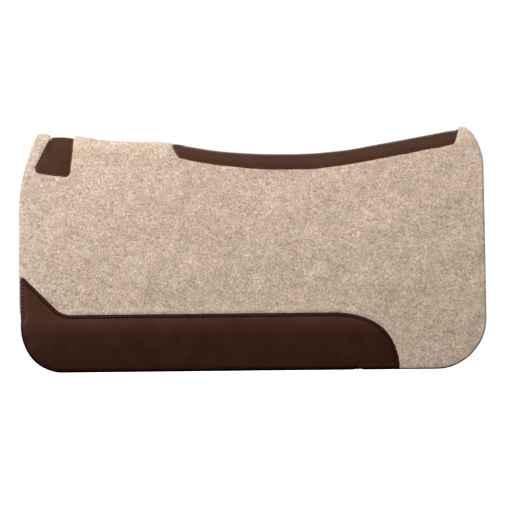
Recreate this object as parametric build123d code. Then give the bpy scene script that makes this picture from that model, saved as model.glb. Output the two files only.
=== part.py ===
from build123d import *
import math
import os

# A western contoured saddle pad, folded over its spine and standing on its lower edges.
# Millimetres. +Z is up, +X runs from the withers to the rump, and the near (left) side is at -Y.
# The origin is on the ground, under the middle of the pad.
# Side views are drawn as (x, z), and cross-sections as angles about the crown, negative on the
# near side. A lift is a distance out from the felt's outer face.

# The pad's side outline: round lower corners, and ends that sweep in towards the ridge
LENGTH = 787.0
FRONT = -LENGTH / 2
REAR = LENGTH / 2
FRONT_CORNER_R = 74.0
REAR_CORNER_R = 88.0
FRONT_SWEEP_Z = 272.0
FRONT_SWEEP_R = 285.0
FRONT_SWEEP_ANGLE = 40.0
REAR_SWEEP_Z = 344.0
REAR_SWEEP_R = 78.0
REAR_SWEEP_ANGLE = 50.0

# The felt's top line along the spine, as (x, z), dipping under the saddle's seat
RIDGE = [(-440, 404), (-354, 401), (-220, 392.5), (-131, 381.5), (-45, 368), (60, 363),
         (160, 369.5), (250, 384), (344, 401), (440, 418)]
STATION_STEP = 55.0

# The cross-section: a round crown that runs on into gently curved flanks
FELT = 19.0
LEATHER = 2.5
CROWN_R = 38.0
CROWN_ANGLE = 66.0
FLANK_R = 1500.0
FLANK_ANGLE = 17.5
EDGE_ANGLE = CROWN_ANGLE + FLANK_ANGLE
SEAM_GAP = 0.3

# The wither relief slot, cut through the crown between the wither tab and the spine leather
SLOT_FRONT = -294.5
SLOT_REAR = -136.5
SLOT_HALF_WIDTH = 13.0
SLOT_END_R = 12.0

# The spine leather, in plan
SPINE_FRONT = -133.5
SPINE_FRONT_BOW = 4.0
SPINE_FRONT_CORNER = -121.5
SPINE_REAR = 352.0
SPINE_REAR_CORNER = 344.0

# The wither tab, in side view
TAB_FRONT_TOP = -338.5
TAB_FRONT_LOW = -372.0
TAB_REAR_TOP = -301.7
TAB_REAR_LOW = -308.0
TAB_LOW = 329.0
TAB_LOW_RISE = 10.0
TAB_CORNER_R = 9.0

# The wear leather, in side view: a 45-degree front end, a straight top edge, and a rear
# shoulder of three arcs, each as (radius, turn), that starts at SHOULDER_START
WEAR_TOP = 97.0
WEAR_PEAK = 160.5
WEAR_STEP = 8.0
WEAR_DIAGONAL_R = 37.0
SHOULDER_START = 137.5
SHOULDER = [(148.0, 25.0), (72.0, 40.0), (114.0, 25.0)]
WEAR_REAR = 245.5

# Where the wear leather folds round the lower edge, and how far up the inside it reaches
WRAP_TOP = 94.0
WRAP_REAR = 178.0
WRAP_FLAP = 26.0

# The rows of thread
THREAD = 0.9
THREAD_GAP = 0.3
STITCH_INSET = 4.6
SEAM_THREAD_REACH = 6.0
SEAM_THREAD_MARGIN = 4.0

# Reaches for cutting tools, clear of the whole pad
ABOVE = 470.0
ASIDE = 400.0
MARGIN = 20.0


def ridge_height(x):
    """The height of the felt's top at x: a smooth curve through the ridge's points."""
    last = len(RIDGE) - 1
    slopes = []
    for i in range(len(RIDGE)):
        before, after = RIDGE[max(i - 1, 0)], RIDGE[min(i + 1, last)]
        slopes.append((after[1] - before[1]) / (after[0] - before[0]))
    i = max(k for k in range(last) if RIDGE[k][0] <= x)
    (x0, z0), (x1, z1) = RIDGE[i], RIDGE[i + 1]
    run = x1 - x0
    t = (x - x0) / run
    level = z0 * (1 + 2 * t) * (1 - t) ** 2 + z1 * t * t * (3 - 2 * t)
    return level + run * slopes[i] * t * (1 - t) ** 2 - run * slopes[i + 1] * t * t * (1 - t)


def section_point(angle, lift, x):
    """A point of the cross-section at x. The flank's arc starts at CROWN_ANGLE, tangent to the crown."""
    turn = math.radians(abs(angle))
    knee = math.radians(CROWN_ANGLE)
    centre_out, centre_up, radius = 0.0, -CROWN_R, CROWN_R + lift
    if abs(angle) > CROWN_ANGLE:
        centre_out = (CROWN_R - FLANK_R) * math.sin(knee)
        centre_up += (CROWN_R - FLANK_R) * math.cos(knee)
        radius = FLANK_R + lift
    out = centre_out + radius * math.sin(turn)
    return Vector(x, math.copysign(out, angle), ridge_height(x) + centre_up + radius * math.cos(turn))


def section_arcs(start, stop, lift, x):
    """The section's arcs between two angles, in the plane at x."""
    knees = [angle for angle in (-CROWN_ANGLE, CROWN_ANGLE) if start < angle < stop]
    bounds = [start] + knees + [stop]
    found = []
    for a, b in zip(bounds, bounds[1:]):
        found.append(ThreePointArc(*[section_point(angle, lift, x) for angle in (a, (a + b) / 2, b)]))
    return found


def skin(start, stop, low, high):
    """A layer of the pad from angle to angle, between two lifts."""
    first, last = RIDGE[0][0], RIDGE[-1][0]
    count = round((last - first) / STATION_STEP)
    wires = []
    for i in range(count + 1):
        x = first + i * (last - first) / count
        outer = section_arcs(start, stop, high, x)
        inner = section_arcs(start, stop, low, x)
        sides = [Line(outer[0] @ 0, inner[0] @ 0), Line(outer[-1] @ 1, inner[-1] @ 1)]
        wires.append(Wire(outer + inner + sides))
    return Solid.make_loft(wires)


def end_sweep(end, sweep_z, radius, angle, side):
    """One end of the side outline above its straight: an arc leaning inwards, and its tangent."""
    sweep = JernArc((end, sweep_z), (0, 1), radius, angle * side)
    turn = math.radians(angle)
    lean = Vector(-side * math.sin(turn), math.cos(turn))
    return [sweep, Line(sweep @ 1, sweep @ 1 + lean * MARGIN * 4)]


def outline(inset=0.0):
    """The pad's side outline, drawn in by an inset along its lower and end edges."""
    front, rear = FRONT + inset, REAR - inset
    front_r, rear_r = FRONT_CORNER_R - inset, REAR_CORNER_R - inset
    front_sweep = end_sweep(front, FRONT_SWEEP_Z, FRONT_SWEEP_R - inset, FRONT_SWEEP_ANGLE, -1)
    rear_sweep = end_sweep(rear, REAR_SWEEP_Z, REAR_SWEEP_R - inset, REAR_SWEEP_ANGLE, 1)
    front_top, rear_top = front_sweep[-1] @ 1, rear_sweep[-1] @ 1
    path = [
        Line((front + front_r, inset), (rear - rear_r, inset)),
        JernArc((rear - rear_r, inset), (1, 0), rear_r, 90),
        Line((rear, inset + rear_r), (rear, REAR_SWEEP_Z)),
        *rear_sweep,
        Line(rear_top, (rear_top.X, ABOVE)),
        Line((rear_top.X, ABOVE), (front_top.X, ABOVE)),
        Line((front_top.X, ABOVE), front_top),
        *front_sweep,
        Line((front, FRONT_SWEEP_Z), (front, inset + front_r)),
        JernArc((front, inset + front_r), (0, -1), front_r, 90),
    ]
    return make_face(path)


def upright(shape, near, far):
    """A side-view shape, pulled across the pad from y = near to y = far."""
    return extrude(Plane.XZ.offset(-near) * shape, near - far)


def half(shape):
    """A side-view shape, pulled through the near side only."""
    return upright(shape, -SEAM_GAP / 2, -ASIDE)


def mirrored(shape):
    return mirror(shape, about=Plane.XZ)


def wear_top_line(inset):
    """The wear leather's upper edge from its peak to the ground, drawn in by an inset."""
    top, peak = WEAR_TOP - inset, WEAR_PEAK - inset
    start = FRONT + WEAR_STEP - inset * math.tan(math.radians(22.5))
    bend = start + peak - top
    radius = WEAR_DIAGONAL_R + inset
    ease = radius * math.tan(math.radians(22.5))
    slant = ease * math.cos(math.radians(45))
    path = [Line((start, peak), (bend - slant, top + slant))]
    path.append(JernArc(path[-1] @ 1, (1, -1), radius, 45))
    path.append(Line(path[-1] @ 1, (SHOULDER_START, top)))
    for arc_radius, turn in SHOULDER:
        path.append(JernArc(path[-1] @ 1, path[-1] % 1, arc_radius - inset, -turn))
    return path


def wear_shape():
    """The wear leather as it is seen from the side."""
    edge = wear_top_line(0)
    heel = edge[-1] @ 1
    front = FRONT - MARGIN
    closing = Polyline(heel, (heel.X, -MARGIN), (front, -MARGIN), (front, WEAR_PEAK), edge[0] @ 0)
    return make_face(edge + [closing]) & outline()


def wrap_shape(inset):
    """The stretch of the pad's lower edge where the leather folds under, as a side view."""
    width, height = WRAP_REAR - FRONT + MARGIN, WRAP_TOP + MARGIN
    window = Pos(WRAP_REAR - width / 2, WRAP_TOP - height / 2) * Rectangle(width, height)
    return outline(inset) & window


def relief_slot():
    """The slot's cutter: a long hole with rounded ends, on the pad's middle plane."""
    shape = Rectangle(SLOT_REAR - SLOT_FRONT, 2 * SLOT_HALF_WIDTH)
    shape = fillet(shape.vertices(), SLOT_END_R)
    middle = (SLOT_FRONT + SLOT_REAR) / 2
    floor = ridge_height(middle) - 2 * CROWN_R
    return Pos(middle, 0, floor) * extrude(shape, ABOVE - floor)


def felt_panel(leather):
    blank = skin(-EDGE_ANGLE, 0, -FELT, 0) & half(outline())
    return blank - relief_slot() - leather


def wear_leather():
    """The outer face, the fold round the lower edge, and the flap on the inside, as one piece."""
    face = skin(-EDGE_ANGLE, 0, 0, LEATHER) & half(wear_shape())
    around = skin(-EDGE_ANGLE, 0, -FELT - LEATHER, LEATHER) & half(wrap_shape(0))
    core = skin(-EDGE_ANGLE, 0, -FELT, 0) & half(wrap_shape(LEATHER))
    inside = skin(-EDGE_ANGLE, 0, -FELT - 2 * LEATHER, -FELT) & half(wrap_shape(WRAP_FLAP))
    return (face + (around - core - inside)).solid()


def spine_leather():
    band = skin(-CROWN_ANGLE, CROWN_ANGLE, 0, LEATHER)
    reach = CROWN_R + LEATHER
    near_front = ThreePointArc(
        (SPINE_FRONT, -SLOT_HALF_WIDTH),
        (SPINE_FRONT + SPINE_FRONT_BOW, -0.7 * reach),
        (SPINE_FRONT_CORNER, -reach),
    )
    near_rear = Line((SPINE_REAR_CORNER, -reach), (SPINE_REAR, 0))
    path = [
        near_front,
        Line(near_front @ 1, near_rear @ 0),
        near_rear,
        mirrored(near_rear),
        Line((SPINE_REAR_CORNER, reach), (SPINE_FRONT_CORNER, reach)),
        mirrored(near_front),
        Line((SPINE_FRONT, SLOT_HALF_WIDTH), (SPINE_FRONT, -SLOT_HALF_WIDTH)),
    ]
    return band & extrude(make_face(path), ABOVE)


def wither_tab():
    """The strap over the ridge, narrow at the top and with rounded lower corners."""
    shape = make_face(Polyline(
        (TAB_FRONT_TOP, ABOVE),
        (TAB_FRONT_TOP, ridge_height(TAB_FRONT_TOP)),
        (TAB_FRONT_LOW, TAB_LOW + TAB_LOW_RISE),
        (TAB_REAR_LOW, TAB_LOW),
        (TAB_REAR_TOP, ridge_height(TAB_REAR_TOP)),
        (TAB_REAR_TOP, ABOVE),
        close=True,
    ))
    shape = fillet(shape.vertices().sort_by(Axis.Y)[:2], TAB_CORNER_R)
    return skin(-EDGE_ANGLE, EDGE_ANGLE, 0, LEATHER) & upright(shape, ASIDE, -ASIDE)


def thread_row(line, low):
    """A row of thread along a side-view line, from a lift outwards over the near side."""
    rib = make_face(offset(line, THREAD / 2, kind=Kind.ARC, side=Side.BOTH))
    return skin(-EDGE_ANGLE, 0, low, low + THREAD) & half(rib)


def outer_row(*points):
    return thread_row(Polyline(*points), LEATHER + THREAD_GAP)


def wear_top_row():
    line = Wire(wear_top_line(STITCH_INSET)).trim(0, 0.97)
    return thread_row(line, LEATHER + THREAD_GAP)


def front_hem_row():
    x = FRONT + STITCH_INSET
    return outer_row((x, WEAR_PEAK - 1.5 * STITCH_INSET), (x, WRAP_TOP))


def rear_hem_row():
    z = 2 * STITCH_INSET
    return outer_row((WRAP_REAR, z), (WEAR_REAR - 3 * STITCH_INSET, z))


def inner_flap_row():
    """The row that holds the folded-under leather, on the pad's inner face."""
    inset = WRAP_FLAP - STITCH_INSET
    down = Line((FRONT + inset, WRAP_TOP - STITCH_INSET), (FRONT + inset, FRONT_CORNER_R))
    corner = JernArc(down @ 1, (0, -1), FRONT_CORNER_R - inset, 90)
    line = Wire([down, corner, Line(corner @ 1, (WRAP_REAR - STITCH_INSET, inset))])
    return thread_row(line, -FELT - LEATHER - THREAD_GAP - THREAD)


def spine_row():
    """The row just inside the spine leather's lower edge."""
    middle = -CROWN_ANGLE + math.degrees(STITCH_INSET / CROWN_R)
    spread = math.degrees(THREAD / CROWN_R) / 2
    low = LEATHER + THREAD_GAP
    thread = skin(middle - spread, middle + spread, low, low + THREAD)
    length = SPINE_REAR_CORNER - SPINE_FRONT_CORNER - 2 * STITCH_INSET
    window = Pos((SPINE_REAR_CORNER + SPINE_FRONT_CORNER) / 2, ABOVE) * Rectangle(length, 2 * ABOVE)
    return thread & half(window)


def tab_row():
    """The row round the tab's front, lower and rear edges."""
    top = ridge_height(TAB_FRONT_TOP) - STITCH_INSET
    return outer_row(
        (TAB_FRONT_TOP + STITCH_INSET, top),
        (TAB_FRONT_LOW + 1.5 * STITCH_INSET, TAB_LOW + TAB_LOW_RISE + STITCH_INSET),
        (TAB_REAR_LOW - STITCH_INSET, TAB_LOW + STITCH_INSET),
        (TAB_REAR_TOP - STITCH_INSET, top),
    )


def seam_thread(start, stop):
    """The zigzag thread that joins the butted halves, as a band under the crown."""
    spread = math.degrees(SEAM_THREAD_REACH / (CROWN_R - FELT))
    high = -FELT - THREAD_GAP
    band = skin(-spread, spread, high - THREAD, high)
    window = Pos((start + stop) / 2, ABOVE) * Rectangle(stop - start, 2 * ABOVE)
    return band & upright(window, ASIDE, -ASIDE)


def save(name, shape):
    export_step(shape.solid(), f"parts/{name}.step")


def save_pair(name, shape):
    """A near-side piece and its mirror image on the off side."""
    save(f"near_{name}", shape)
    save(f"off_{name}", mirrored(shape))


os.makedirs("parts", exist_ok=True)
leather = wear_leather()
save_pair("felt_panel", felt_panel(leather))
save_pair("wear_leather", leather)
save("spine_leather", spine_leather())
save("wither_tab", wither_tab())
save("spine_seam_thread", seam_thread(SLOT_REAR + SEAM_THREAD_MARGIN, SPINE_REAR + SEAM_THREAD_MARGIN))
save("wither_seam_thread", seam_thread(TAB_FRONT_TOP - 2 * SEAM_THREAD_MARGIN, SLOT_FRONT - SEAM_THREAD_MARGIN))
save_pair("spine_stitching", spine_row())
save_pair("tab_stitching", tab_row())
save_pair("wear_top_stitching", wear_top_row())
save_pair("front_hem_stitching", front_hem_row())
save_pair("rear_hem_stitching", rear_hem_row())
save_pair("inner_flap_stitching", inner_flap_row())
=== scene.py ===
import math
import random

import bmesh
import bpy
import numpy as np
from mathutils import Matrix, Vector
from mathutils.geometry import delaunay_2d_cdt


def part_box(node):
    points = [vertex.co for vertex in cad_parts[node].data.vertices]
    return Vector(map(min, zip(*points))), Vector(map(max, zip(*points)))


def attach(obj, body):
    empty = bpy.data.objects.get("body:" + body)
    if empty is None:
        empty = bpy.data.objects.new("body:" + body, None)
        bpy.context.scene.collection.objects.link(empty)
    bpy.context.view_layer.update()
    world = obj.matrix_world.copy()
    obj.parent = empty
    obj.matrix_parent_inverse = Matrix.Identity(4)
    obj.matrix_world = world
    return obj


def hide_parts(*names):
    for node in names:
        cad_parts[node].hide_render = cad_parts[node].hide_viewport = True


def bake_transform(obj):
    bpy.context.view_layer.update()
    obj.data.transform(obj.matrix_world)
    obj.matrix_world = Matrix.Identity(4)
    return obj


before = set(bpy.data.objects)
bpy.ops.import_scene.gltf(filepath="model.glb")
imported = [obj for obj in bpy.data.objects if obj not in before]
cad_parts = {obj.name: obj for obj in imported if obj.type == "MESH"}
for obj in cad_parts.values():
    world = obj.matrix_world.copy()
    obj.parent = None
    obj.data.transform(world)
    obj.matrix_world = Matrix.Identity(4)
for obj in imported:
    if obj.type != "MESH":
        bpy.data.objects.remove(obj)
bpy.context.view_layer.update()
random.seed(7)

# The pad's shape, in metres. It is the CAD model's, apart from the front edge's lean, the slot's
# corners, and the rear corner and sweep, which differ from it by up to 3 mm.
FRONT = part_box("near_felt_panel")[0][0]
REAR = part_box("near_felt_panel")[1][0]
FRONT_CORNER_R = 0.074
REAR_CORNER_R = 0.086
FRONT_LEAN = 0.003
FRONT_SWEEP_Z = 0.272
FRONT_SWEEP_R = 0.285
FRONT_SWEEP_END = 148
REAR_SWEEP_Z = 0.3455
REAR_SWEEP_R = 0.078
REAR_SWEEP_START = 50
RIDGE = [(-0.44, 0.404), (-0.354, 0.401), (-0.22, 0.3925), (-0.131, 0.3815), (-0.045, 0.368),
         (0.06, 0.363), (0.16, 0.3695), (0.25, 0.384), (0.344, 0.401), (0.44, 0.418)]
FELT = 0.019
LEATHER = 0.0025
CUT_R = 0.0042
SEAM_R = 0.0016
PRESSED = 0.0009
CROWN_R = 0.038
CROWN_ANGLE = math.radians(66)
FLANK_R = 1.5
CROWN_LENGTH = CROWN_R * CROWN_ANGLE
FLANK_OUT = (CROWN_R - FLANK_R) * math.sin(CROWN_ANGLE)
FLANK_UP = (CROWN_R - FLANK_R) * math.cos(CROWN_ANGLE) - CROWN_R
SLOT_FRONT = -0.2945
SLOT_REAR = -0.1365
SLOT_HALF_WIDTH = 0.013
SLOT_CORNER_R = 0.009

# The leathers, as the CAD model has them, apart from up to 1 mm at the spine leather's ends
TAB_FRONT_TOP = -0.3385
TAB_FRONT_LOW = -0.3720
TAB_REAR_TOP = -0.3017
TAB_REAR_LOW = -0.3080
TAB_LOW = 0.3290
TAB_LOW_RISE = 0.010
TAB_CORNER_R = 0.009
SPINE_FRONT = -0.1332
SPINE_FRONT_CORNER = -0.1225
SPINE_REAR = 0.352
SPINE_REAR_CORNER = 0.3445
SPINE_FRONT_R = 0.0035
SPINE_REAR_R = 0.0045
WEAR_TOP = 0.097
WEAR_PEAK = 0.1605
WEAR_STEP = 0.008
WEAR_DIAGONAL_R = 0.037
SHOULDER_START = 0.1375
# The arcs of the wear leather's rear end, as (radius, degrees)
SHOULDER = [(0.148, 25), (0.072, 40), (0.114, 25)]
WEAR_REAR = 0.2455
WRAP_TOP = 0.094
WRAP_REAR = 0.178
WRAP_FLAP = 0.026
WRAP_STEP = 0.008
FOLD_START = 0.006
BOTTOM_ZONE = 0.085
FLUSH = 0.0005
TUCK = 0.0008

# The stitching
STITCH_INSET = 0.0052
FRONT_HEM_INSET = 0.0072
REAR_HEM_HEIGHT = 0.0088
NARROW_INSET = 0.0029
ROW_FROM_SEAM = 0.006
STITCH_PITCH = 0.00644
STITCH_LENGTH = 0.0037
THREAD_R = 0.0005
THREAD_SEAT = 0.0001
THREAD_RISE = 0.00042
THREAD_DIVE = 0.0007
ZIGZAG_PITCH = 0.0048
ZIGZAG_REACH = 0.0052
ZIGZAG_GAP = 0.003
HOLE_R = 0.00085
WIDE_HOLE_R = 0.0016

# How far inside an outline its rings of extra points lie, for a smoothly rounded edge
RINGS = (0.0005, 0.0012, 0.0024, 0.0036, 0.0046, 0.0056, 0.0075)
# A step off an outline, to tell which of its sides is the inside
PROBE = 1e-4


# ---------------------------------------------------------------- the pad's curved surface

def ridge_height(x):
    """The height of the felt's top at x, by the same smooth curve as the CAD model's."""
    xs = np.array([p[0] for p in RIDGE])
    zs = np.array([p[1] for p in RIDGE])
    slopes = np.empty(len(xs))
    slopes[1:-1] = (zs[2:] - zs[:-2]) / (xs[2:] - xs[:-2])
    slopes[0] = (zs[1] - zs[0]) / (xs[1] - xs[0])
    slopes[-1] = (zs[-1] - zs[-2]) / (xs[-1] - xs[-2])
    x = np.asarray(x, float)
    i = np.clip(np.searchsorted(xs, x, side="right") - 1, 0, len(xs) - 2)
    run = xs[i + 1] - xs[i]
    t = (x - xs[i]) / run
    value = zs[i] * (1 + 2 * t) * (1 - t) ** 2 + zs[i + 1] * t * t * (3 - 2 * t)
    return value + run * (slopes[i] * t * (1 - t) ** 2 - slopes[i + 1] * t * t * (1 - t))


def smooth(a, b, x):
    """0 before a, 1 after b, and smooth between them."""
    t = np.clip((np.asarray(x, float) - a) / (b - a), 0, 1)
    return t * t * (3 - 2 * t)


def bump(x, middle, width):
    """1 at the middle, fading to 0 over a few widths."""
    return np.exp(-(((np.asarray(x, float) - middle) / width) ** 2))


# How far the felt stands above or below the CAD ridge, as (x, lift): ears of free felt at both
# ends, felt pressed down by the wither tab, and the slot's edges springing up
CROWN_LIFT = [(-0.354, 0.0040), (-0.348, 0.0034), (-0.3425, 0.0012), (-0.3392, -0.0038),
              (-0.3020, -0.0038), (-0.2975, 0.0022), (-0.292, 0.0050), (-0.2775, 0.0044),
              (-0.257, 0.0016), (-0.237, 0.0008), (-0.196, 0.0025), (-0.155, 0.0070),
              (-0.1385, 0.0070), (-0.132, 0.0015), (-0.10, 0.0), (0.05, 0.0),
              (0.115, -0.0009), (0.155, -0.0009), (0.21, 0.0), (0.349, 0.0), (0.356, 0.0058)]


def crown_shift(x, s):
    """How far the crown stands above or below the CAD ridge, fading down the flanks."""
    x = np.asarray(x, float)
    lift = np.full(x.shape, CROWN_LIFT[0][1])
    for (x0, before), (x1, after) in zip(CROWN_LIFT, CROWN_LIFT[1:]):
        lift = lift + (after - before) * smooth(x0, x1, x)
    return lift * (1 - smooth(0.020, 0.075, s))


def front_lean(x, z):
    """How far the lower front edge leans in, a little flatter than a true arc."""
    return FRONT_LEAN * bump(z, 0.055, 0.040) * (1 - smooth(0, 0.11, x - FRONT))


def surface(x, s, lift, side=-1):
    """Points s along the felt's outer face from the seam, lifted off it, on one side of the pad."""
    x, s, lift = (np.asarray(v, float) for v in np.broadcast_arrays(x, s, lift))
    crown = s <= CROWN_LENGTH
    angle = np.where(crown, s / CROWN_R, CROWN_ANGLE + (s - CROWN_LENGTH) / FLANK_R)
    radius = np.where(crown, CROWN_R, FLANK_R) + lift
    y = np.where(crown, 0, FLANK_OUT) + radius * np.sin(angle)
    z = np.where(crown, -CROWN_R, FLANK_UP) + radius * np.cos(angle)
    z = z + ridge_height(x) + crown_shift(x, s)
    return np.stack([x + front_lean(x, z), side * y, z], axis=-1)


def s_at(x, z):
    """How far along the felt from the seam a point seen from the side is."""
    drop = np.maximum(ridge_height(x) - np.asarray(z, float), 0)
    crown = np.arccos(np.clip(1 - drop / CROWN_R, -1, 1))
    flank = np.arccos(np.clip((-drop - FLANK_UP) / FLANK_R, -1, 1))
    on_crown = drop <= CROWN_R * (1 - math.cos(CROWN_ANGLE))
    return np.where(on_crown, crown * CROWN_R, CROWN_LENGTH + (flank - CROWN_ANGLE) * FLANK_R)


# ---------------------------------------------------------------- meshes

def linked(name, data):
    """A new object in the scene, holding a mesh, a light or a camera."""
    obj = bpy.data.objects.new(name, data)
    bpy.context.scene.collection.objects.link(obj)
    return obj


def new_object(name, verts, faces):
    """A mesh object from its points and faces."""
    mesh = bpy.data.meshes.new(name)
    mesh.from_pydata([tuple(v) for v in verts], [], [tuple(f) for f in faces])
    mesh.validate()
    mesh.update()
    return linked(name, mesh)


def places_of(mesh):
    """The mesh's points as one flat array."""
    co = np.empty(len(mesh.vertices) * 3, np.float32)
    mesh.vertices.foreach_get("co", co)
    return co


def finish_mesh(obj, material):
    """Smooth shading, the resting place of each point for its materials, and its material."""
    mesh = obj.data
    mesh.polygons.foreach_set("use_smooth", [True] * len(mesh.polygons))
    rest = mesh.attributes.new("rest", "FLOAT_VECTOR", "POINT")
    rest.data.foreach_set("vector", places_of(mesh))
    mesh.materials.append(material)
    mesh.update()
    return obj


def finish_bmesh(name, bm, material):
    """A new object from a finished bmesh, as finish_mesh makes it."""
    bmesh.ops.recalc_face_normals(bm, faces=bm.faces)
    mesh = bpy.data.meshes.new(name)
    bm.to_mesh(mesh)
    bm.free()
    return finish_mesh(linked(name, mesh), material)


def skin_rings(bm, rings):
    """A closed tube through rings of vertices."""
    for low, high in zip(rings, rings[1:]):
        for m in range(len(low)):
            n = (m + 1) % len(low)
            bm.faces.new((low[m], low[n], high[n], high[m]))
    bm.faces.new(rings[0][::-1])
    bm.faces.new(rings[-1])


def resample(points, step):
    """A closed outline as evenly spaced points, keeping its corners."""
    found = []
    for a, b in zip(points, points[1:] + points[:1]):
        count = max(1, round(math.dist(a, b) / step))
        found += [(a[0] + (b[0] - a[0]) * i / count, a[1] + (b[1] - a[1]) * i / count)
                  for i in range(count)]
    return np.array(found)


def arc(centre, radius, start, stop, step=0.002):
    """Points of an arc, from one angle to another in degrees."""
    count = max(2, round(abs(math.radians(stop - start)) * radius / step))
    turns = [math.radians(start + (stop - start) * i / count) for i in range(count + 1)]
    return [(centre[0] + radius * math.cos(a), centre[1] + radius * math.sin(a)) for a in turns]


def rounded(before, corner, after, radius):
    """The arc that rounds a corner between two straight edges."""
    b, c, a = (Vector(p) for p in (before, corner, after))
    to_b, to_a = (b - c).normalized(), (a - c).normalized()
    half_angle = to_b.angle(to_a) / 2
    centre = c + (to_b + to_a).normalized() * radius / math.sin(half_angle)
    start = c + to_b * radius / math.tan(half_angle) - centre
    stop = c + to_a * radius / math.tan(half_angle) - centre
    a0 = math.degrees(math.atan2(start.y, start.x))
    turn = math.degrees(math.atan2(start.x * stop.y - start.y * stop.x, start.dot(stop)))
    return arc(centre, radius, a0, a0 + turn)


def distance_to(points, outline, closed=True):
    """Each point's distance to an outline."""
    ends = np.roll(outline, -1, axis=0) if closed else outline[1:]
    starts = outline if closed else outline[:-1]
    best = np.full(len(points), 1e9)
    for a, b in zip(starts, ends):
        d = b - a
        t = np.clip(((points - a) @ d) / max(d @ d, 1e-18), 0, 1)
        best = np.minimum(best, np.hypot(*(points - a - t[:, None] * d).T))
    return best


def inside(points, outline):
    """Which points are inside a closed outline."""
    result = np.zeros(len(points), bool)
    for (x0, y0), (x1, y1) in zip(outline, np.roll(outline, -1, axis=0)):
        if y0 == y1:
            continue
        across = (points[:, 1] < y0) != (points[:, 1] < y1)
        result ^= across & (points[:, 0] < x0 + (points[:, 1] - y0) * (x1 - x0) / (y1 - y0))
    return result


def flat_pattern(outline, spacing):
    """A triangulated flat piece: its points, its triangles, and its outline's point numbers."""
    rim = resample(outline, spacing * 0.6)
    low, high = rim.min(axis=0), rim.max(axis=0)
    inner = []
    ahead = np.roll(rim, -1, axis=0) - np.roll(rim, 1, axis=0)
    normal = np.stack([-ahead[:, 1], ahead[:, 0]], axis=1)
    normal /= np.linalg.norm(normal, axis=1)[:, None]
    probe = rim + normal * PROBE
    if inside(probe, rim).mean() < 0.5:
        normal = -normal
    for ring in RINGS:
        points = rim + normal * ring
        keep = inside(points, rim) & (distance_to(points, rim) > ring * 0.97)
        inner.append(points[keep])
    rows = np.arange(low[1], high[1], spacing * 0.866)
    grid = np.array([(x + (spacing / 2 if i % 2 else 0), y)
                     for i, y in enumerate(rows)
                     for x in np.arange(low[0], high[0], spacing)])
    keep = inside(grid, rim)
    grid = grid[keep]
    grid = grid[distance_to(grid, rim) > RINGS[-1] + spacing * 0.5]
    points = np.concatenate([rim] + inner + [grid])
    edges = [(i, (i + 1) % len(rim)) for i in range(len(rim))]
    verts, _, faces, origin, _, _ = delaunay_2d_cdt([Vector(p) for p in points], edges, [], 1, 1e-6)
    number = {}
    for new, old in enumerate(origin):
        for o in old:
            number[o] = new
    loop = [number[i] for i in range(len(rim))]
    return np.array([tuple(v) for v in verts]), faces, loop


def leather_piece(name, outline, place, real_edge, material, inset, spacing=0.004, plump=0.0007):
    """A piece of leather cut to an outline, with rounded edges, laid on the pad by place()."""
    flat, faces, loop = flat_pattern(outline, spacing)
    edge = real_edge(flat)
    # A rounded cut edge, a groove under the stitches, a plump middle, and a margin drawn down
    rise = LEATHER * (0.42 + 0.58 * np.sqrt(1 - (1 - np.clip(edge / 0.0014, 0, 1)) ** 2))
    groove = -0.0006 * bump(edge, inset, 0.0011)
    crown = plump * smooth(inset, 0.018, edge)
    pull = -0.0002 * (1 - smooth(0, inset, edge))
    top = place(flat, rise + groove + crown + pull)
    under = place(flat, np.full(len(flat), -0.0005))
    count = len(flat)
    verts = np.concatenate([top, under])
    middle = faces[len(faces) // 2]
    a, b, c = (Vector(top[i]) for i in middle)
    outward = (b - a).cross(c - a).dot(Vector(top[middle[0]] - under[middle[0]])) > 0
    front = [f if outward else f[::-1] for f in faces]
    shell = [tuple(f) for f in front] + [tuple(i + count for i in f[::-1]) for f in front]
    first = {(f[k], f[(k + 1) % len(f)]) for f in front for k in range(len(f))}
    for i, j in zip(loop, loop[1:] + loop[:1]):
        if (i, j) in first:
            shell.append((j, i, i + count, j + count))
        else:
            shell.append((i, j, j + count, i + count))
    obj = new_object(name, verts, shell)
    attribute = obj.data.attributes.new("edge", "FLOAT", "POINT")
    attribute.data.foreach_set("value", np.concatenate([edge, np.zeros(count)]).astype(np.float32))
    return finish_mesh(obj, material)


# ---------------------------------------------------------------- outlines, seen from the side

def to_cloth(points, step=0.006):
    """A side-view line (x, z) as (x, distance from the seam along the felt), closely spaced."""
    fine = [points[0]]
    for a, b in zip(points, points[1:]):
        count = max(1, round(math.dist(a, b) / step))
        fine += [(a[0] + (b[0] - a[0]) * i / count, a[1] + (b[1] - a[1]) * i / count)
                 for i in range(1, count + 1)]
    points = np.array(fine)
    return [(float(x), float(s)) for x, s in zip(points[:, 0], s_at(points[:, 0], points[:, 1]))]


def below_ridge(points):
    """Those of a side-view line's points that lie under the ridge."""
    return [p for p in points if p[1] < float(ridge_height(p[0])) - 2e-5]


def eased(start, stop, count=14, power=1.6):
    """Points between two ends, closer together near the start."""
    return [(start[0] + (stop[0] - start[0]) * (i / count) ** power,
             start[1] + (stop[1] - start[1]) * (i / count) ** power) for i in range(1, count)]


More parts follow.
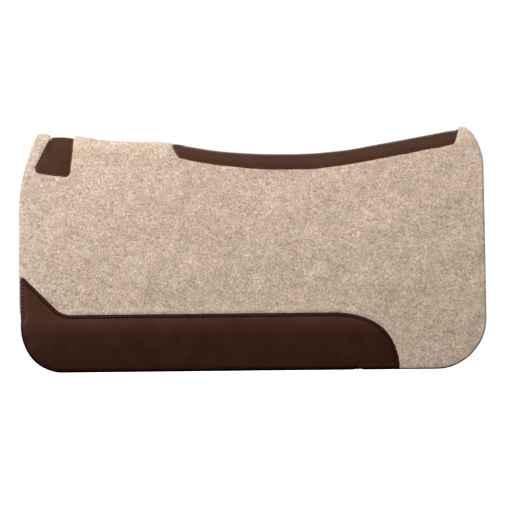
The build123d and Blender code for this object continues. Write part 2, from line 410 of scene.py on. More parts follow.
def felt_outline():
    """The near felt panel, as (x, s): its seam edges lie at s = 0."""
    inset = LEATHER + TUCK
    side = arc((REAR - REAR_CORNER_R, REAR_CORNER_R), REAR_CORNER_R, 0, -90)
    side += [(WRAP_REAR + WRAP_STEP, 0.0), (WRAP_REAR - 0.002, inset)]
    side += arc((FRONT + FRONT_CORNER_R, FRONT_CORNER_R), FRONT_CORNER_R - inset, 270, 180)
    side += [(FRONT + inset, WRAP_TOP - 0.002), (FRONT, WRAP_TOP + WRAP_STEP)]
    side += below_ridge(arc((FRONT + FRONT_SWEEP_R, FRONT_SWEEP_Z), FRONT_SWEEP_R, 180, FRONT_SWEEP_END))
    rear = below_ridge(arc((REAR - REAR_SWEEP_R, REAR_SWEEP_Z), REAR_SWEEP_R, REAR_SWEEP_START, 0))
    slot_front, slot_rear = (SLOT_FRONT, SLOT_HALF_WIDTH), (SLOT_REAR, SLOT_HALF_WIDTH)
    path = to_cloth(side)
    path += [(path[-1][0] + 0.0004, 0.0), (SLOT_FRONT, 0.0), (SLOT_FRONT, 0.003)]
    path += rounded((SLOT_FRONT, 0), slot_front, slot_rear, SLOT_CORNER_R)
    path += rounded(slot_front, slot_rear, (SLOT_REAR, 0), SLOT_CORNER_R)
    path += [(SLOT_REAR, 0.003), (SLOT_REAR, 0.0)]
    tail = to_cloth(rear)
    path.append((tail[0][0] - 0.0004, 0.0))
    return path + tail


def shoulder(inset):
    """The wear leather's rear end, drawn in by an inset: three arcs from its top edge down."""
    points, heading = [(SHOULDER_START, WEAR_TOP - inset)], 90
    for radius, turn in SHOULDER:
        x, z = points[-1]
        reach, angle = radius - inset, math.radians(heading)
        centre = (x - reach * math.cos(angle), z - reach * math.sin(angle))
        points += arc(centre, reach, heading, heading - turn)[1:]
        heading -= turn
    return points


def wear_outline():
    """The wear leather in side view, its folded-under stretch laid out beyond the pad's edge."""
    diagonal = FRONT + WEAR_STEP + WEAR_PEAK - WEAR_TOP
    fold = FOLD_START - (fold_length() + WRAP_FLAP - FOLD_START)
    line = [(FRONT + FLUSH, WEAR_PEAK), (FRONT + WEAR_STEP, WEAR_PEAK)]
    line += rounded(line[-1], (diagonal, WEAR_TOP), (0.1, WEAR_TOP), WEAR_DIAGONAL_R)
    line += [p for p in shoulder(0) if p[1] > 2 * FLUSH]
    line += [(WEAR_REAR, FLUSH), (WRAP_REAR + 0.001, FLUSH), (WRAP_REAR, FLUSH - 0.001), (WRAP_REAR, fold)]
    line += arc((FRONT + FRONT_CORNER_R, FRONT_CORNER_R), FRONT_CORNER_R - fold, 270, 180, step=0.003)
    line += [(FRONT + fold, WRAP_TOP), (FRONT + FLUSH - 0.001, WRAP_TOP), (FRONT + FLUSH, WRAP_TOP + 0.001)]
    return line


def wear_region():
    """The part of the wear leather that shows from outside, as (x, s)."""
    points = [p for p in wear_outline() if p[1] > 0 and p[0] > FRONT]
    return np.array(to_cloth(points))


def spine_width(x):
    """How far down from the seam the spine leather reaches: most under the saddle's seat."""
    return CROWN_LENGTH - 0.0015 + 0.0022 * bump(x, 0.075, 0.12) - 0.0014 * (1 - smooth(-0.115, -0.03, x))


def spine_end(middle, corner, start):
    """One end of the spine leather, curving from its middle to its lower corner, as (x, s)."""
    count, low = 10, float(spine_width(corner))
    ts = [i / count for i in range(count + 1)]
    return [(middle, 0.0)] + [(middle + (corner - middle) * t ** 2.2, start + (low - start) * t)
                              for t in ts]


def spine_outline():
    """The near half of the spine leather, as (x, s)."""
    front = spine_end(SPINE_FRONT, SPINE_FRONT_CORNER, SLOT_HALF_WIDTH)
    rear = spine_end(SPINE_REAR, SPINE_REAR_CORNER, 0.002)
    step = 0.012
    between = np.arange(SPINE_FRONT_CORNER + step, SPINE_REAR_CORNER - step, step)
    low = [(x, float(spine_width(x))) for x in between]
    turn = rounded(front[-2], front[-1], low[0], SPINE_FRONT_R)
    back = rounded(low[-1], rear[-1], rear[-2], SPINE_REAR_R)
    return front[:-1] + turn + low + back + rear[-2::-1]


def tab_outline():
    """The near half of the wither tab, as (x, s)."""
    front_top = (TAB_FRONT_TOP, float(ridge_height(TAB_FRONT_TOP)))
    rear_top = (TAB_REAR_TOP, float(ridge_height(TAB_REAR_TOP)))
    front_low = (TAB_FRONT_LOW, TAB_LOW + TAB_LOW_RISE)
    rear_low = (TAB_REAR_LOW, TAB_LOW)
    low = rounded(front_top, front_low, rear_low, TAB_CORNER_R)
    low += rounded(front_low, rear_low, (TAB_REAR_TOP, front_top[1]), TAB_CORNER_R)
    line = eased(front_top, low[0]) + low + eased(rear_top, low[-1])[::-1]
    return [(TAB_FRONT_TOP, 0.0)] + to_cloth(line) + [(TAB_REAR_TOP, 0.0)]


# ---------------------------------------------------------------- laying pieces on the pad

def s_lifted(x, z, lift):
    """s_at, for a point that is lifted off the flank and still has to be seen at height z."""
    drop = ridge_height(x) - np.asarray(z, float)
    flank = np.arccos(np.clip((-drop - FLANK_UP) / (FLANK_R + lift), -1, 1))
    return CROWN_LENGTH + (flank - CROWN_ANGLE) * FLANK_R


def fold_radius():
    """The inner radius of each bend of the leather round the felt's edge."""
    return FOLD_START - LEATHER - TUCK


def fold_length():
    """The way round the felt's edge: a bend, the felt's cut face, and a second bend."""
    return math.pi * (fold_radius() + LEATHER / 2) + FELT - 2 * fold_radius()


def place_wear(flat, lift):
    """Lays the wear leather's pattern on the near flank, and folds it round the lower edge."""
    x, z = flat[:, 0], flat[:, 1]
    cx, cz = FRONT + FRONT_CORNER_R, FRONT_CORNER_R
    # How deep each point is inside the pad's outline, and which way is further in
    corner = (x < cx) & (z < cz)
    bottom = (x >= cx) & (z < BOTTOM_ZONE)
    away = np.maximum(np.hypot(x - cx, z - cz), 1e-9)
    depth = np.where(corner, FRONT_CORNER_R - away, np.where(bottom, z, x - FRONT))
    nx = np.where(corner, (cx - x) / away, np.where(bottom, 0, 1))
    nz = np.where(corner, (cz - z) / away, np.where(bottom, 1, 0))
    # The way round the felt's edge: a bend, the cut face, a second bend, and the flap inside
    r = fold_radius()
    quarter = math.pi / 2 * (r + LEATHER / 2)
    straight = FELT - 2 * r
    c = FOLD_START - depth
    rho = r + lift
    first = np.clip(c / quarter, 0, 1) * math.pi / 2
    second = np.clip((c - quarter - straight) / quarter, 0, 1) * math.pi / 2
    run = np.clip(c - quarter, 0, straight)
    over = np.maximum(c - 2 * quarter - straight, 0)
    inset = FOLD_START - rho * np.sin(first) * np.cos(second) + over
    height = rho * np.cos(first) - r - run - rho * np.sin(second)
    folded = c > 0
    height = np.where(folded, height, lift)
    move = np.where(folded, inset - depth, 0)
    px, pz = x + nx * move, z + nz * move
    return surface(px, s_lifted(px, pz, height), height)


def place_cloth(flat, lift):
    """Lays a pattern given as (x, s) on the pad."""
    return surface(flat[:, 0], flat[:, 1], lift)


def place_felt(flat, lift):
    """Lays the felt on the pad, its lower cut face level with the ground."""
    x, s = flat[:, 0], flat[:, 1]
    angle = np.maximum(CROWN_ANGLE + (s - CROWN_LENGTH) / FLANK_R, CROWN_ANGLE)
    slip = lift / np.tan(angle) * smooth(0.06, 0.14, s)
    return surface(x, s + slip, lift)


# ---------------------------------------------------------------- materials

def new_material(name):
    """A new material, its node tree and its shader node."""
    material = bpy.data.materials.new(name)
    material.use_nodes = True
    tree = material.node_tree
    return material, tree, tree.nodes["Principled BSDF"]


def add(tree, kind, inputs=None, **settings):
    """A new node, with each input linked to a socket or set to a value."""
    node = tree.nodes.new(kind)
    for key, value in settings.items():
        setattr(node, key, value)
    for key, value in (inputs or {}).items():
        if isinstance(value, bpy.types.NodeSocket):
            tree.links.new(value, node.inputs[key])
        else:
            node.inputs[key].default_value = value
    return node


def rest_in_mm(tree):
    """The point's resting place in millimetres, which a pose doesn't change."""
    place = add(tree, "ShaderNodeAttribute", attribute_name="rest")
    return add(tree, "ShaderNodeVectorMath", {0: place.outputs["Vector"], "Scale": 1000.0},
               operation="SCALE").outputs[0]


def ramp(tree, factor, stops):
    """A colour that changes with the factor, by stops of (position, colour)."""
    node = add(tree, "ShaderNodeValToRGB", {"Fac": factor})
    elements = node.color_ramp.elements
    while len(elements) < len(stops):
        elements.new(0.5)
    for element, (place, colour) in zip(elements, stops):
        element.position = place
        element.color = (*colour, 1)
    return node.outputs["Color"]


def srgb(r, g, b):
    """A colour given as 0 to 255, in linear light."""
    return tuple(c / 3294.6 if c <= 10.31 else ((c / 255 + 0.055) / 1.055) ** 2.4 for c in (r, g, b))


def mix(tree, factor, a, b, blend_type="MIX"):
    """Two colours mixed by a factor."""
    node = add(tree, "ShaderNodeMix", data_type="RGBA", blend_type=blend_type)
    for key, value in ((0, factor), (6, a), (7, b)):
        if isinstance(value, bpy.types.NodeSocket):
            tree.links.new(value, node.inputs[key])
        else:
            node.inputs[key].default_value = value if isinstance(value, float) else (*value, 1)
    return node.outputs[2]


def noise(tree, vector, scale, detail=3.0, roughness=0.55, distortion=0.0):
    """Soft noise from about 0.3 to 0.7, its scale in cells per unit of the vector."""
    node = add(tree, "ShaderNodeTexNoise", {"Vector": vector, "Scale": scale, "Detail": detail,
                                            "Roughness": roughness, "Distortion": distortion})
    return node.outputs["Fac"]


def felt_material():
    """Pressed oatmeal wool: cream fibre with tan, pinkish brown and grey clumps and flecks."""
    material, tree, shader = new_material("wool_felt")
    place = rest_in_mm(tree)
    warp = add(tree, "ShaderNodeTexNoise", {"Vector": place, "Scale": 0.22, "Detail": 2.0})
    pull = add(tree, "ShaderNodeVectorMath", {0: warp.outputs["Color"], "Scale": 7.0}, operation="SCALE")
    bent = add(tree, "ShaderNodeVectorMath", {0: place, 1: pull.outputs[0]}).outputs[0]
    mottle = noise(tree, bent, 0.31, 5.0, 0.80, 0.4)
    base = ramp(tree, mottle, [
        (0.32, srgb(148, 109, 82)),
        (0.42, srgb(183, 151, 125)),
        (0.50, srgb(206, 181, 157)),
        (0.58, srgb(220, 202, 182)),
        (0.68, srgb(241, 231, 219)),
    ])
    fibre = noise(tree, bent, 0.74, 4.0, 0.75, 0.8)
    grain = ramp(tree, fibre, [(0.32, (0.5,) * 3), (0.5, (1.0,) * 3), (0.68, (1.4,) * 3)])
    base = mix(tree, 0.7, base, grain, "MULTIPLY")
    hairs = [fibres(tree, bent, turn) for turn in (0.5, 2.1)]
    for amount, tint in zip(hairs, (srgb(128, 94, 74), srgb(244, 236, 224))):
        base = mix(tree, amount, base, tint)
    flecks = add(tree, "ShaderNodeTexVoronoi", {"Vector": bent, "Scale": 0.42, "Randomness": 1.0})
    choice = add(tree, "ShaderNodeSeparateColor", {"Color": flecks.outputs["Color"]})
    chosen = add(tree, "ShaderNodeMath", {0: choice.outputs[0], 1: 0.84}, operation="GREATER_THAN")
    near = add(tree, "ShaderNodeMapRange", {"Value": flecks.outputs["Distance"], "From Min": 0.15,
                                            "From Max": 0.55, "To Min": 0.75, "To Max": 0.0})
    amount = add(tree, "ShaderNodeMath", {0: chosen.outputs[0], 1: near.outputs[0]}, operation="MULTIPLY")
    tint = ramp(tree, choice.outputs[1], [
        (0.0, srgb(150, 106, 84)),
        (0.4, srgb(168, 118, 94)),
        (0.7, srgb(144, 132, 120)),
        (1.0, srgb(112, 84, 68)),
    ])
    base = mix(tree, amount.outputs[0], base, tint)
    broad = noise(tree, place, 0.02, 2.0, 0.5)
    tone = ramp(tree, broad, [(0.35, (0.95,) * 3), (0.65, (1.03,) * 3)])
    base = mix(tree, 1.0, base, tone, "MULTIPLY")
    patches = ramp(tree, noise(tree, place, 0.075, 2.0, 0.6), [(0.35, (0.90,) * 3), (0.65, (1.10,) * 3)])
    base = mix(tree, 1.0, base, patches, "MULTIPLY")
    tree.links.new(base, shader.inputs["Base Color"])
    shader.inputs["Roughness"].default_value = 0.95
    shader.inputs["Specular IOR Level"].default_value = 0.12
    shader.inputs["Sheen Weight"].default_value = 0.15
    shader.inputs["Sheen Roughness"].default_value = 0.6
    height = add(tree, "ShaderNodeMath", {0: fibre, 1: mottle}, operation="ADD")
    height = add(tree, "ShaderNodeMath", {0: height.outputs[0], 1: hairs[1]}, operation="ADD")
    relief = add(tree, "ShaderNodeBump", {"Strength": 0.6, "Distance": 0.0009, "Height": height.outputs[0]})
    tree.links.new(relief.outputs[0], shader.inputs["Normal"])
    return material


def fibres(tree, vector, turn):
    """A mask of long thin fibres that lie roughly one way."""
    turned = add(tree, "ShaderNodeVectorRotate", {"Vector": vector, "Angle": turn, "Axis": (0.3, 1, 0.2)})
    drawn = add(tree, "ShaderNodeVectorMath", {0: turned.outputs[0], 1: (0.16, 1.5, 1.5)},
                operation="MULTIPLY")
    streak = noise(tree, drawn.outputs[0], 1.0, 2.0, 0.5, 1.1)
    mask = add(tree, "ShaderNodeMapRange", {"Value": streak, "From Min": 0.60, "From Max": 0.72,
                                            "To Min": 0.0, "To Max": 0.55})
    return mask.outputs[0]


def leather_material(name, tones, edge_colour, edge_full, edge_end):
    """Smooth, oiled brown leather with a fine grain and its cut edge in a colour of its own, with painted
    shade low down, a painted highlight near the top, and painted shade in the dark leather's edge band.
    """
    material, tree, shader = new_material(name)
    place = rest_in_mm(tree)
    cloud = noise(tree, place, 0.03, 4.0, 0.6, 0.4)
    base = ramp(tree, cloud, list(zip((0.30, 0.50, 0.70), tones)))
    # Painted light by height: the colour is darkened low down as painted shade and made much lighter and
    # paler near the top as a painted highlight from the light above.
    height = add(tree, "ShaderNodeSeparateXYZ", {0: place}).outputs["Z"]
    painted_light_by_height = add(tree, "ShaderNodeMapRange", {"Value": height, "From Min": 10.0, "From Max": 92.0,
                                             "To Min": 0.0, "To Max": 1.0}, interpolation_type="SMOOTHSTEP")
    tone = ramp(tree, painted_light_by_height.outputs[0], [(0.0, (0.86,) * 3), (0.7, (0.98,) * 3), (1.0, (1.62, 1.76, 1.95))])
    base = mix(tree, 1.0, base, tone, "MULTIPLY")
    pores = noise(tree, place, 1.6, 3.0, 0.6)
    speckle = ramp(tree, pores, [(0.35, (0.86,) * 3), (0.6, (1.06,) * 3)])
    base = mix(tree, 0.8, base, speckle, "MULTIPLY")
    # The band along the cut edge: on the dark leather, a dark edge colour with painted shade over it; on
    # the strap leather, its reddish edge colour.
    edge = add(tree, "ShaderNodeAttribute", attribute_name="edge")
    edge_tint_and_shade = add(tree, "ShaderNodeMapRange", {"Value": edge.outputs["Fac"], "From Min": edge_full,
                                               "From Max": edge_end, "To Min": 0.9, "To Max": 0.0})
    base = mix(tree, edge_tint_and_shade.outputs[0], base, edge_colour)
    tree.links.new(base, shader.inputs["Base Color"])
    rough = add(tree, "ShaderNodeMapRange", {"Value": cloud, "From Min": 0.3, "From Max": 0.7,
                                             "To Min": 0.38, "To Max": 0.48})
    tree.links.new(rough.outputs[0], shader.inputs["Roughness"])
    shader.inputs["Specular IOR Level"].default_value = 0.08
    cells = add(tree, "ShaderNodeTexVoronoi", {"Vector": place, "Scale": 0.95},
                feature="DISTANCE_TO_EDGE")
    crease = noise(tree, place, 0.16, 4.0, 0.6, 1.2)
    height = add(tree, "ShaderNodeMath", {0: cells.outputs["Distance"], 1: crease}, operation="ADD")
    relief = add(tree, "ShaderNodeBump", {"Strength": 0.2, "Distance": 0.0005, "Height": height.outputs[0]})
    tree.links.new(relief.outputs[0], shader.inputs["Normal"])
    return material


def thread_material(name, dark, light):
    """Waxed thread with a twist of lighter and darker strands."""
    material, tree, shader = new_material(name)
    place = rest_in_mm(tree)
    strands = noise(tree, place, 2.2, 2.0, 0.5)
    colour = ramp(tree, strands, [(0.4, dark), (0.6, light)])
    tree.links.new(colour, shader.inputs["Base Color"])
    shader.inputs["Roughness"].default_value = 0.6
    shader.inputs["Specular IOR Level"].default_value = 0.12
    relief = add(tree, "ShaderNodeBump", {"Strength": 0.3, "Distance": 0.0003, "Height": strands})
    tree.links.new(relief.outputs[0], shader.inputs["Normal"])
    return material


def hole_shade_material():
    """Painted shade of a needle hole: a dark, dull dot for its inside."""
    material, tree, shader = new_material("needle_hole_shade")
    dark = ramp(tree, noise(tree, rest_in_mm(tree), 1.0), [(0.4, srgb(20, 11, 8)), (0.6, srgb(28, 16, 12))])
    tree.links.new(dark, shader.inputs["Base Color"])
    shader.inputs["Roughness"].default_value = 0.9
    shader.inputs["Specular IOR Level"].default_value = 0.04
    return material


# ---------------------------------------------------------------- felt

def felt_relief(points):
    """The felt's own unevenness: soft lumps from pressing, in metres."""
    x, s = points[:, 0], points[:, 1]
    total = np.zeros(len(points))
    for amount, length in ((0.0006, 0.110), (0.00035, 0.043), (0.00022, 0.017), (0.00016, 0.009)):
        for _ in range(5):
            turn, phase = random.uniform(0, math.pi), random.uniform(0, 2 * math.pi)
            stretch = length * random.uniform(0.8, 1.25)
            total += amount / 2.2 * np.sin(
                2 * math.pi * (x * math.cos(turn) + s * math.sin(turn)) / stretch + phase)
    return total


def depth_from_cuts(flat, rim, on_seam):
    """How deep points are inside a panel's cut edges, apart from the edge along the seam."""
    rim = np.concatenate([rim, rim[:1]])
    on_seam = np.concatenate([on_seam, on_seam[:1]])
    depth = np.full(len(flat), 1e9)
    start = 0
    while start < len(rim) - 1:
        stop = start
        while stop < len(rim) - 1 and not (on_seam[stop] and on_seam[stop + 1]):
            stop += 1
        if stop > start:
            depth = np.minimum(depth, distance_to(flat, rim[start:stop + 1], closed=False))
        start = stop + 1
    return depth


def rounding(depth, radius):
    """How far a face sinks towards an edge that is rounded to a radius."""
    t = 1 - np.clip(depth / radius, 0, 1)
    return radius * (1 - np.sqrt(np.clip(1 - t * t, 0, 1)))


def felt_panel(name, side, material, leathers):
    """One felt panel: two faces with rounded cut edges, pressed in under the leathers, and its walls."""
    outline = felt_outline()
    flat, faces, loop = flat_pattern(outline, 0.0038)
    rim = flat[loop]
    on_seam = rim[:, 1] < 1e-5
    # The slot's edges are cut, and don't meet the other panel
    seam_depth = flat[:, 1].copy()
    in_slot = (flat[:, 0] > SLOT_FRONT) & (flat[:, 0] < SLOT_REAR)
    seam_depth[in_slot] = 1.0
    cut_depth = depth_from_cuts(flat, rim, on_seam)
    sink = np.maximum(rounding(cut_depth, CUT_R), rounding(seam_depth, SEAM_R))
    relief = felt_relief(flat) * smooth(0, 0.012, np.minimum(cut_depth, seam_depth))
    covered = np.zeros(len(flat))
    # Under a leather the felt is pressed in. Beside it, it dips at the edge and swells a little.
    for region in leathers:
        away = distance_to(flat, region)
        within = inside(flat, region)
        covered = np.maximum(covered, np.where(within, smooth(0, 0.003, away), 0))
        relief += np.where(within, 0, 0.0008 * bump(away, 0.0045, 0.0035) - 0.0005 * bump(away, 0, 0.0014))
    outer = -sink + relief * (1 - covered) - PRESSED * covered
    inner = -FELT + sink + felt_relief(flat) * 0.8 * smooth(0, 0.012, np.minimum(cut_depth, seam_depth))
    walls = 6
    verts = [place_felt(flat, outer), place_felt(flat, inner)]
    count = len(flat)
    for k in range(1, walls):
        t = k / walls
        lift = outer[loop] * (1 - t) + inner[loop] * t
        verts.append(place_felt(rim, lift))
    verts = np.concatenate(verts)
    front = faces if side < 0 else [f[::-1] for f in faces]
    a, b, c = (Vector(verts[i]) for i in faces[0])
    middle = faces[0][0]
    if (b - a).cross(c - a).dot(Vector(verts[middle] - verts[middle + count])) < 0:
        front = [f[::-1] for f in front]
    shell = [tuple(f) for f in front] + [tuple(i + count for i in f[::-1]) for f in front]
    directed = {(f[k], f[(k + 1) % 3]) for f in front for k in range(3)}
    size = len(loop)

    def wall_point(k, i):
        if k == 0:
            return loop[i]
        if k == walls:
            return loop[i] + count
        return 2 * count + (k - 1) * size + i

    for i in range(size):
        j = (i + 1) % size
        forward = (loop[i], loop[j]) in directed
        for k in range(walls):
            quad = (wall_point(k, i), wall_point(k + 1, i), wall_point(k + 1, j), wall_point(k, j))
            shell.append(quad if forward else quad[::-1])
    if side > 0:
        verts = verts * np.array([1, -1, 1])
    return finish_mesh(new_object(name, verts, shell), material)


# ---------------------------------------------------------------- thread

def along(points, pitch):
    """Evenly spaced places along a line, each with the direction of the line there."""
    points = np.array(points)
    found, carried = [], pitch / 2
    for a, b in zip(points, points[1:]):
        run = float(np.hypot(*(b - a)))
        if run < 1e-9:
            continue
        while carried < run:
            found.append((a + (b - a) * carried / run, (b - a) / run))
            carried += pitch
        carried -= run
    return found


def frame_at(place, point, heading, lift, side):
    """The frame of a stitch: along its row, across it, and out of the leather."""
    step = 2e-4
    spots = np.array([point, point + heading * step, point + np.array([-heading[1], heading[0]]) * step])
    p, q, r = (Vector(v) for v in place(spots, np.full(3, lift)))
    if side > 0:
        p, q, r = (Vector((v.x, -v.y, v.z)) for v in (p, q, r))
    ahead = (q - p).normalized()
    out = ahead.cross(r - p).normalized()
    middle = Vector((p.x, 0, p.z - 0.05))
    if out.dot(p - middle) < 0:
        out = -out
    return p, ahead, out.cross(ahead), out


def stitch_row(name, row, place, side, thread, hole_shade, outward=1, hole_r=HOLE_R):
    """Separate stitches along a row, each sunk at its ends into its needle holes, shown as flat dots of
    painted shade.
    """
    bm = bmesh.new()
    around, steps = 8, 7
    turns = [2 * math.pi * m / around for m in range(around)]
    for point, heading in along(row, STITCH_PITCH):
        p, ahead, across, out = frame_at(place, point, heading, LEATHER - THREAD_SEAT, side)
        out = out * outward
        turn = random.uniform(-0.07, 0.07)
        ahead, across = (ahead * math.cos(turn) + across * math.sin(turn),
                         across * math.cos(turn) - ahead * math.sin(turn))
        length = STITCH_LENGTH * random.uniform(0.94, 1.05)
        rings = []
        for k in range(steps + 1):
            t = 2 * k / steps - 1
            rise = THREAD_RISE * (1 - abs(t) ** 3) - THREAD_DIVE * abs(t) ** 6
            radius = THREAD_R * (1 - 0.35 * abs(t) ** 5)
            centre = p + ahead * (t * length / 2) + out * rise
            rings.append([bm.verts.new(
                centre + across * (1.15 * radius * math.cos(a)) + out * (radius * math.sin(a)))
                for a in turns])
        skin_rings(bm, rings)
        # At each end of the stitch, a flat dark dot of painted shade stands in for the needle hole.
        for end in (-1, 1):
            centre = p + ahead * (end * (length / 2 + 0.0002)) + out * 0.00008
            matrix = Matrix((ahead, across, out)).transposed().to_4x4()
            matrix.translation = centre
            dot = bmesh.ops.create_icosphere(bm, subdivisions=1, radius=hole_r,
                                             matrix=matrix @ Matrix.Diagonal((1, 0.85, 0.2, 1)))
            for vert in dot["verts"]:
                for face in vert.link_faces:
                    face.material_index = 1
    obj = finish_bmesh(name, bm, thread)
    obj.data.materials.append(hole_shade)
    return obj


def zigzag(name, stretches, material):
    """The zigzag thread over the felt's butted edges, as one tube for each stretch.

    A stretch is (start, stop, lift of the felt's face, and 1 for its outer or -1 for its inner face).
    """
    bm = bmesh.new()
    around = 6
    turns = [2 * math.pi * m / around for m in range(around)]
    for start, stop, lift, rise in stretches:
        count = max(2, int((stop - start) / ZIGZAG_PITCH))
        points = []
        for k in range(count + 1):
            x = start + (stop - start) * k / count
            reach = ZIGZAG_REACH * (1 + random.uniform(-0.06, 0.06))
            side = 1 if k % 2 else -1
            s = reach if lift >= 0 else reach * CROWN_R / (CROWN_R - FELT)
            a = Vector(surface(x, s, lift - rise * 0.0007, side))
            m = Vector(surface(x + 0.0012, s * 0.45, lift + rise * 0.0002, side))
            points += [a, m]
        rings = []
        for i, p in enumerate(points):
            ahead = (points[min(i + 1, len(points) - 1)] - points[max(i - 1, 0)]).normalized()
            out = ahead.cross(Vector((0, 0, 1)).cross(ahead)).normalized()
            across = out.cross(ahead)
            rings.append([bm.verts.new(
                p + across * (THREAD_R * math.cos(a)) + out * (THREAD_R * math.sin(a)))
                for a in turns])
        skin_rings(bm, rings)
    return finish_bmesh(name, bm, material)


def wear_top_row():
    """Side-view points of the row inside the wear leather's upper edge."""
    top, peak = WEAR_TOP - STITCH_INSET, WEAR_PEAK - STITCH_INSET
    turn = FRONT + WEAR_STEP - STITCH_INSET * math.tan(math.radians(22.5))
    bend = (turn + peak - top, top)
    points = [(turn, peak)]
    points += rounded((turn, peak), bend, (0.1, top), WEAR_DIAGONAL_R + STITCH_INSET)
    return points + [p for p in shoulder(STITCH_INSET) if p[1] > 0.012]


def front_hem_row():
    """The short row at the front edge, where the leather is cut flush."""
    x = FRONT + FRONT_HEM_INSET
    return [(x, WEAR_PEAK - STITCH_INSET - 0.001), (x, WRAP_TOP)]


def rear_hem_row():
    """The short row at the lower rear edge, where the leather is cut flush."""
    return [(WRAP_REAR + 0.002, REAR_HEM_HEIGHT),
            (WEAR_REAR - STITCH_INSET - 0.004, REAR_HEM_HEIGHT)]


def inner_flap_row():
    """The row on the folded-under flap, laid out beyond the pad's edge."""
    fold = FOLD_START - (fold_length() + WRAP_FLAP - FOLD_START) + STITCH_INSET
    points = [(WRAP_REAR - STITCH_INSET, fold)]
    points += arc((FRONT + FRONT_CORNER_R, FRONT_CORNER_R), FRONT_CORNER_R - fold, 270, 180)
    points.append((FRONT + fold, WRAP_TOP - STITCH_INSET))
    return points


def inner_line(outline, cut, inset):
    """The line a stitch inset inside part of an outline, given as (x, s)."""
    points = np.array(outline)
    ahead = np.gradient(points, axis=0)
    normal = np.stack([-ahead[:, 1], ahead[:, 0]], axis=1)
    normal /= np.maximum(np.linalg.norm(normal, axis=1), 1e-12)[:, None]
    if not inside((points + normal * PROBE)[len(points) // 2][None], points)[0]:
        normal = -normal
    shifted = points + normal * inset
    closed = np.concatenate([points, points[:1]])
    keep = distance_to(shifted, closed[1:-1], closed=False) > inset * 0.96
    shifted = shifted[keep & (shifted[:, 1] > cut)]
    return [tuple(p) for p in shifted]


# ---------------------------------------------------------------- the pad

felt = felt_material()
# The dark leather's edge colour srgb(34, 14, 8) is partly painted shade along its cut edge.
leather = leather_material("dark_leather", (srgb(51, 25, 14), srgb(55, 28, 16), srgb(60, 32, 20)),
                           srgb(34, 14, 8), 0.0012, 0.0036)
strap_leather = leather_material("strap_leather", (srgb(50, 27, 15), srgb(53, 29, 16), srgb(58, 33, 20)),
                                 srgb(112, 64, 47), 0.0009, 0.0026)
thread = thread_material("thread", srgb(38, 20, 13), srgb(58, 33, 24))
red_thread = thread_material("strap_thread", srgb(100, 56, 40), srgb(132, 80, 60))
pale_thread = thread_material("hem_thread", srgb(94, 64, 53), srgb(126, 92, 79))
seam = thread_material("seam_thread", srgb(176, 150, 126), srgb(214, 192, 168))
hole_shade = hole_shade_material()

wear_flat = wear_outline()
spine_flat = spine_outline()
tab_flat = tab_outline()
covers = [wear_region(), np.array(spine_flat), np.array(tab_flat)]


def real_edge_of(outline, closed):
    """A function giving a point's distance to a pattern's cut edge; an open one joins its twin."""
    rim = np.array(outline)
    return lambda points: distance_to(points, rim, closed)


def put(obj, node, side=None):
    """Stands a piece in for its CAD node. With a side, its transform is baked into its mesh."""
    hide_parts(node)
    if side is not None:
        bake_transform(obj)


def flipped(obj):
    """Turns a piece made for the near side into its mirror image."""
    obj.data.transform(Matrix.Diagonal((1, -1, 1, 1)))
    obj.data.flip_normals()
    obj.data.attributes["rest"].data.foreach_set("vector", places_of(obj.data))


for side, word in ((-1, "near"), (1, "off")):
    body = f"{word}_side"
    panel = felt_panel(f"{word}_felt", side, felt, covers)
    put(panel, f"{word}_felt_panel", side)

    wear = leather_piece(f"{word}_wear", wear_flat, place_wear, real_edge_of(wear_flat, True), leather,
                         STITCH_INSET)
    spine = leather_piece(f"{word}_spine_leather", spine_flat, place_cloth,
                          real_edge_of(spine_flat, False), strap_leather, NARROW_INSET, 0.003)
    tab = leather_piece(f"{word}_wither_tab", tab_flat, place_cloth,
                        real_edge_of(tab_flat, False), strap_leather, NARROW_INSET, 0.0025)
    if side > 0:
        for obj in (wear, spine, tab):
            flipped(obj)
    put(wear, f"{word}_wear_leather")
    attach(wear, body)
    put(spine, "spine_leather", side)
    put(tab, "wither_tab", side)

    for spot, row, yarn, outward, hole_r in (
            ("wear_top", wear_top_row(), thread, 1, WIDE_HOLE_R),
            ("front_hem", front_hem_row(), pale_thread, 1, WIDE_HOLE_R),
            ("rear_hem", rear_hem_row(), pale_thread, 1, HOLE_R),
            ("inner_flap", inner_flap_row(), thread, -1, HOLE_R)):
        stitches = stitch_row(f"{word}_{spot}_stitches", row, place_wear, side, yarn, hole_shade, outward, hole_r)
        put(stitches, f"{word}_{spot}_stitching")
        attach(stitches, body)
    for spot, flat in (("spine", spine_flat), ("tab", tab_flat)):
        row = inner_line(flat, ROW_FROM_SEAM, NARROW_INSET)
        stitches = stitch_row(f"{word}_{spot}_stitches", row, place_cloth, side, red_thread, hole_shade)
        put(stitches, f"{word}_{spot}_stitching", side)

INNER_FACE = (-FELT, -1)
OUTER_FACE = (0.0, 1)
back_seam = zigzag("spine_zigzag", [(SLOT_REAR + ZIGZAG_GAP, 0.358, *INNER_FACE),
                                    (0.348, 0.359, *OUTER_FACE)], seam)
front_seam = zigzag("wither_zigzag", [(-0.348, SLOT_FRONT - ZIGZAG_GAP, *INNER_FACE),
                                      (-0.350, TAB_FRONT_TOP, *OUTER_FACE)], seam)
for obj, node in ((back_seam, "spine_seam_thread"), (front_seam, "wither_seam_thread")):
    put(obj, node)
    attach(obj, "spine")


# ---------------------------------------------------------------- studio

SKY_LOW = 0.0
SKY_HIGH = 0.55
KEY = 90
FILL = 4
TOP = 12
BACK = 34
REAR_END = 20


def area_light(name, place, target, size, power, colour=(1, 1, 1)):
    """A soft rectangular light that faces a target."""
    data = bpy.data.lights.new(name, "AREA")
    data.shape = "RECTANGLE"
    data.size, data.size_y = size
    data.energy = power
    data.color = colour
    obj = linked(name, data)
    obj.location = place
    obj.rotation_euler = (Vector(target) - Vector(place)).to_track_quat("-Z", "Y").to_euler()


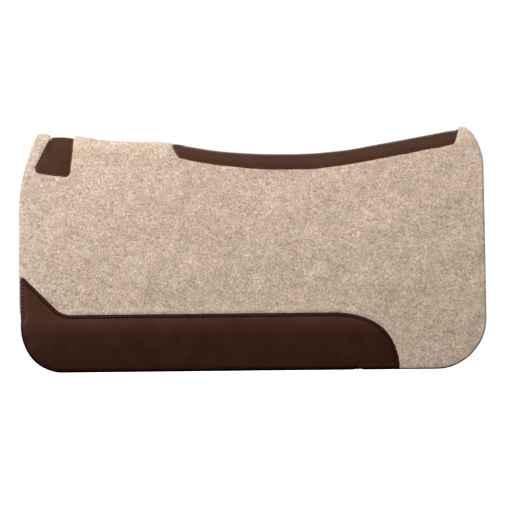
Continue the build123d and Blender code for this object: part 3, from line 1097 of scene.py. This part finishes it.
def studio():
    """A plain white floor and backdrop, with soft lights, the strongest at the front left."""
    material, tree, shader = new_material("studio_white")
    place = add(tree, "ShaderNodeNewGeometry").outputs["Position"]
    tone = ramp(tree, noise(tree, place, 1.5), [(0.3, (0.93,) * 3), (0.7, (0.95,) * 3)])
    tree.links.new(tone, shader.inputs["Base Color"])
    shader.inputs["Roughness"].default_value = 0.9
    shader.inputs["Emission Color"].default_value = (1, 1, 1, 1)
    shader.inputs["Emission Strength"].default_value = 0.85
    reach = 4.0
    floor = new_object("floor", [(-reach, -reach, 0), (reach, -reach, 0), (reach, reach, 0),
                                 (-reach, reach, 0)], [(0, 1, 2, 3)])
    floor.data.materials.append(material)
    floor.visible_diffuse = False
    floor.visible_glossy = False
    world = bpy.data.worlds.new("studio")
    world.use_nodes = True
    tree = world.node_tree
    light = tree.nodes["Background"]
    up = add(tree, "ShaderNodeTexCoord").outputs["Generated"]
    height = add(tree, "ShaderNodeSeparateXYZ", {0: up}).outputs["Z"]
    amount = add(tree, "ShaderNodeMapRange", {"Value": height, "From Min": 0.25, "From Max": 0.95,
                                              "To Min": SKY_LOW, "To Max": SKY_HIGH}).outputs[0]
    light.inputs["Color"].default_value = (1, 1, 1, 1)
    tree.links.new(amount, light.inputs["Strength"])
    backdrop = add(tree, "ShaderNodeBackground", {"Color": (1, 1, 1, 1), "Strength": 1.0})
    seen = add(tree, "ShaderNodeLightPath").outputs["Is Camera Ray"]
    either = add(tree, "ShaderNodeMixShader", {0: seen, 1: light.outputs[0], 2: backdrop.outputs[0]})
    tree.links.new(either.outputs[0], tree.nodes["World Output"].inputs["Surface"])
    bpy.context.scene.world = world
    area_light("key", (-1.6, -1.8, 1.95), (0, 0, 0.2), (1.4, 1.0), KEY, (0.96, 1.0, 1.05))
    area_light("fill", (1.9, -2.0, 0.9), (0, 0, 0.2), (1.4, 1.2), FILL, (1.0, 0.93, 0.80))
    area_light("rear end", (2.8, 0.4, 1.0), (0.3, 0, 0.2), (1.2, 1.0), REAR_END)
    area_light("back", (0.9, 2.6, 1.3), (0, 0, 0.2), (1.6, 1.2), BACK)
    area_light("top", (0.0, -0.3, 2.2), (0, 0, 0.3), (1.8, 1.2), TOP)


def camera():
    """Level, square to the near side and far off, rolled by the little the pad leans by."""
    data = bpy.data.cameras.new("camera")
    distance = 12.0
    width = 0.8630
    near_face = -0.12
    data.sensor_width = 36
    data.lens = 36 * distance / width
    data.clip_end = 50
    obj = linked("camera", data)
    obj.location = (0.0064, near_face - distance, 0.1933)
    obj.rotation_euler = (math.radians(90), math.radians(0.6), 0)
    bpy.context.scene.camera = obj


studio()
camera()
bpy.context.scene.view_settings.view_transform = "Standard"
